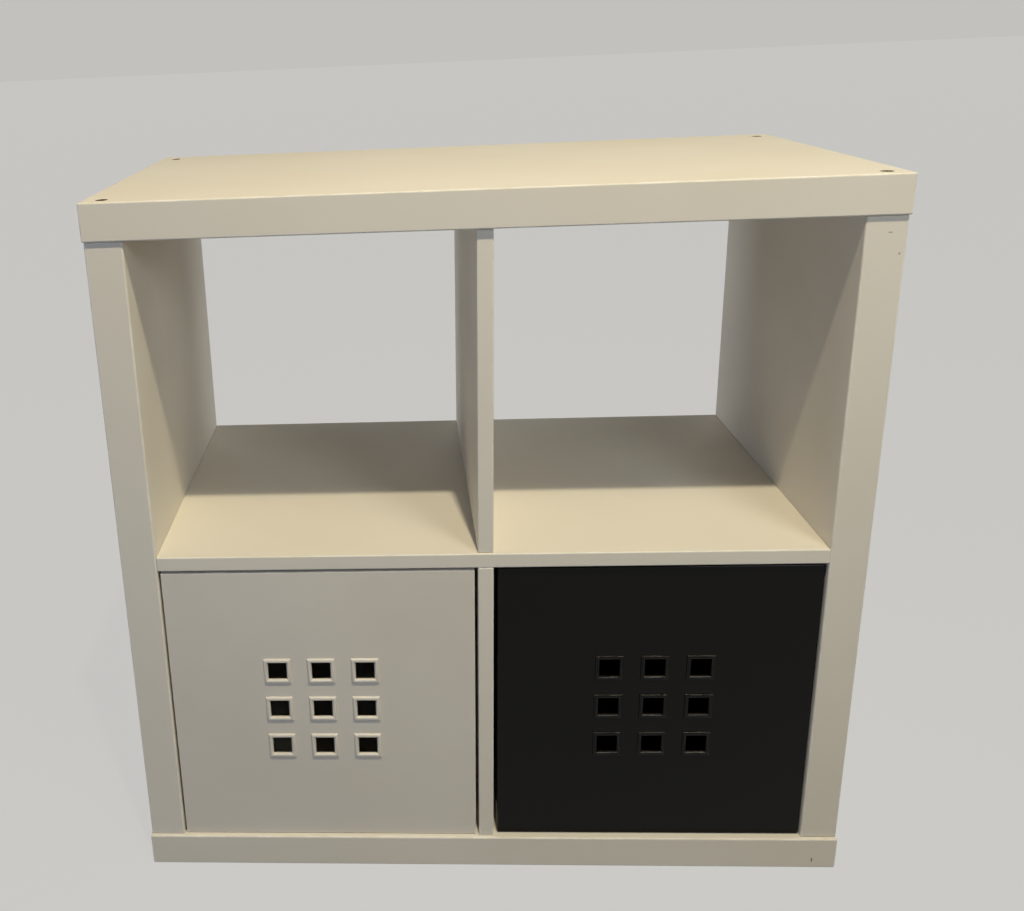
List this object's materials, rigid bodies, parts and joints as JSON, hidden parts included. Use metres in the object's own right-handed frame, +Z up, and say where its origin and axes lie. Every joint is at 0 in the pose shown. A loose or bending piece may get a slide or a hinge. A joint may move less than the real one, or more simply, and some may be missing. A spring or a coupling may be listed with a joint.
{
  "type": "cube storage unit",
  "caption": "Open-backed cube storage unit of thick outer boards and thin inner boards, with pull-out plastic boxes in its lower cubbies.",
  "frame": {"origin": "middle of the footprint, on the ground", "axes": "+Z up, the front with the boxes faces -Y, +X to the right seen from the front"},
  "size_m": [0.765, 0.39, 0.765],
  "materials": {
    "white_board": "white painted foil over board, satin, faint roller texture",
    "dowel_wood": "bare fluted beech",
    "zinc_steel": "zinc-plated",
    "white_plastic": "moulded, satin",
    "black_plastic": "moulded, high gloss"
  },
  "bodies": {
    "cabinet": {"top_panel": "white_board", "bottom_panel": "white_board", "left_side_panel": "white_board", "right_side_panel": "white_board", "middle_shelf": "white_board", "upper_divider": "white_board", "lower_divider": "white_board", "dowel_top_left_front": "dowel_wood", "dowel_top_left_back": "dowel_wood", "dowel_top_right_front": "dowel_wood", "dowel_top_right_back": "dowel_wood", "dowel_bottom_left_front": "dowel_wood", "dowel_bottom_left_back": "dowel_wood", "dowel_bottom_right_front": "dowel_wood", "dowel_bottom_right_back": "dowel_wood", "dowel_shelf_left_front": "dowel_wood", "dowel_shelf_left_back": "dowel_wood", "dowel_shelf_right_front": "dowel_wood", "dowel_shelf_right_back": "dowel_wood", "dowel_divider_top_front": "dowel_wood", "dowel_divider_top_back": "dowel_wood", "dowel_divider_middle_front": "dowel_wood", "dowel_divider_middle_back": "dowel_wood", "dowel_divider_bottom_front": "dowel_wood", "dowel_divider_bottom_back": "dowel_wood", "screw_top_left_front": "zinc_steel", "screw_top_left_back": "zinc_steel", "screw_top_right_front": "zinc_steel", "screw_top_right_back": "zinc_steel", "screw_bottom_left_front": "zinc_steel", "screw_bottom_left_back": "zinc_steel", "screw_bottom_right_front": "zinc_steel", "screw_bottom_right_back": "zinc_steel"},
    "white_box": {"white_box_front": "white_plastic", "white_box_back": "white_plastic", "white_box_left_wall": "white_plastic", "white_box_right_wall": "white_plastic", "white_box_floor": "white_plastic"},
    "black_box": {"black_box_front": "black_plastic", "black_box_back": "black_plastic", "black_box_left_wall": "black_plastic", "black_box_right_wall": "black_plastic", "black_box_floor": "black_plastic"}
  },
  "joints": [
    {"name": "white_box_slide", "type": "slide", "parent": "cabinet", "child": "white_box", "axis": [0, -1, 0], "range_m": [0, 0.32]},
    {"name": "black_box_slide", "type": "slide", "parent": "cabinet", "child": "black_box", "axis": [0, -1, 0], "range_m": [0, 0.32]}
  ]
}
